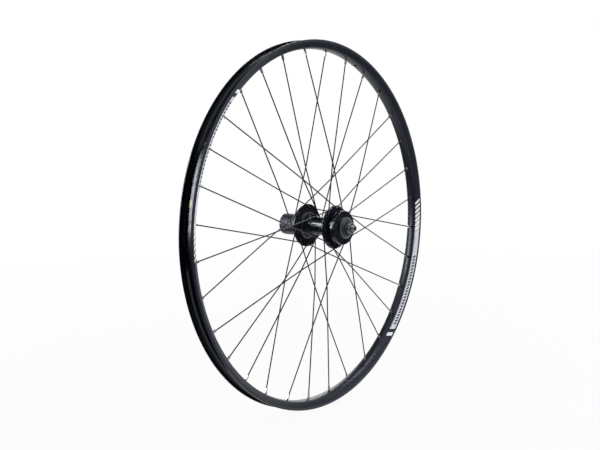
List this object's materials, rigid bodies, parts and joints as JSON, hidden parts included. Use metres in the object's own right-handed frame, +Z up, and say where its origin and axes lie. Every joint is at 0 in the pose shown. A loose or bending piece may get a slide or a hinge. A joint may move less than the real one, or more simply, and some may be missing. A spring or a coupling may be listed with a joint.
{
  "type": "bicycle wheel",
  "caption": "Rear bicycle wheel without a tyre: black double-wall rim, crossed spokes with silver nipples, disc-brake hub with quick-release axle and splined freehub.",
  "frame": {"origin": "the rim's centre on the axle's axis, midway between the locknut faces", "axes": "+Y along the axle towards the brake rotor (left) side, +X forward, +Z up; a positive turn about +Y rolls forward"},
  "size_m": [0.5956, 0.152, 0.5956],
  "materials": {
    "rim": "satin black anodised",
    "rim_strip": "satin nylon",
    "nipple": "nickel plated, polished",
    "spoke": "satin black oxide",
    "hub": "gloss black anodised",
    "dust_cap": "satin dark grey",
    "seal": "matte black",
    "freehub": "dull grey, oiled",
    "hard_steel": "hardened steel",
    "spring_steel": "spring steel",
    "axle": "black oxide",
    "spacer": "satin dark grey anodised",
    "locknut": "zinc plated",
    "race": "ground steel",
    "ball": "polished"
  },
  "bodies": {
    "axle": {"axle": "axle", "left_spacer": "spacer", "bearing_spacer": "spacer", "freehub_spacer": "spacer", "right_spacer": "spacer", "left_locknut": "locknut", "right_locknut": "locknut", "left_inner_race": "race", "right_inner_race": "race", "freehub_inner_races": "race"},
    "wheel": {"rim": "rim", "rim_strip": "rim_strip", "nipples": "nipple", "spoke_01": "spoke", "spoke_02": "spoke", "spoke_03": "spoke", "spoke_04": "spoke", "spoke_05": "spoke", "spoke_06": "spoke", "spoke_07": "spoke", "spoke_08": "spoke", "spoke_09": "spoke", "spoke_10": "spoke", "spoke_11": "spoke", "spoke_12": "spoke", "spoke_13": "spoke", "spoke_14": "spoke", "spoke_15": "spoke", "spoke_16": "spoke", "spoke_17": "spoke", "spoke_18": "spoke", "spoke_19": "spoke", "spoke_20": "spoke", "spoke_21": "spoke", "spoke_22": "spoke", "spoke_23": "spoke", "spoke_24": "spoke", "spoke_25": "spoke", "spoke_26": "spoke", "spoke_27": "spoke", "spoke_28": "spoke", "spoke_29": "spoke", "spoke_30": "spoke", "spoke_31": "spoke", "spoke_32": "spoke", "hub_shell": "hub", "dust_cap": "dust_cap", "ratchet_ring": "hard_steel", "left_outer_race": "race", "right_outer_race": "race"},
    "freehub": {"freehub_body": "freehub", "freehub_outer_races": "race", "freehub_balls": "ball", "freehub_seal": "seal", "pawl_springs": "spring_steel"},
    "pawl_1": {"pawl_1": "hard_steel"},
    "pawl_2": {"pawl_2": "hard_steel"},
    "pawl_3": {"pawl_3": "hard_steel"},
    "left_ball_set": {"left_balls": "ball"},
    "right_ball_set": {"right_balls": "ball"}
  },
  "joints": [
    {"name": "wheel_spin", "type": "hinge", "parent": "axle", "child": "wheel", "pos_m": [0, 0, 0], "axis": [0, 1, 0], "continuous": true},
    {"name": "freehub_spin", "type": "hinge", "parent": "wheel", "child": "freehub", "pos_m": [0, -0.04, 0], "axis": [0, 1, 0], "continuous": true},
    {"name": "pawl_1_pivot", "type": "hinge", "parent": "freehub", "child": "pawl_1", "pos_m": [0, -0.0245, 0.0126], "axis": [0, 1, 0], "range_deg": [0, 12], "stiffness_Nm_per_rad": 0.001, "springref_deg": -11.46, "deforming": ["pawl_springs"]},
    {"name": "pawl_2_pivot", "type": "hinge", "parent": "freehub", "child": "pawl_2", "pos_m": [-0.01091, -0.0245, -0.0063], "axis": [0, 1, 0], "range_deg": [0, 12], "stiffness_Nm_per_rad": 0.001, "springref_deg": -11.46, "deforming": ["pawl_springs"]},
    {"name": "pawl_3_pivot", "type": "hinge", "parent": "freehub", "child": "pawl_3", "pos_m": [0.01091, -0.0245, -0.0063], "axis": [0, 1, 0], "range_deg": [0, 12], "stiffness_Nm_per_rad": 0.001, "springref_deg": -11.46, "deforming": ["pawl_springs"]},
    {"name": "left_balls_spin", "type": "hinge", "parent": "axle", "child": "left_ball_set", "pos_m": [0, 0.051, 0], "axis": [0, 1, 0], "continuous": true},
    {"name": "right_balls_spin", "type": "hinge", "parent": "axle", "child": "right_ball_set", "pos_m": [0, -0.008, 0], "axis": [0, 1, 0], "continuous": true}
  ],
  "couplings": [
    {"joint": "left_balls_spin", "follows": "wheel_spin", "ratio": 0.6322},
    {"joint": "right_balls_spin", "follows": "wheel_spin", "ratio": 0.6322}
  ]
}
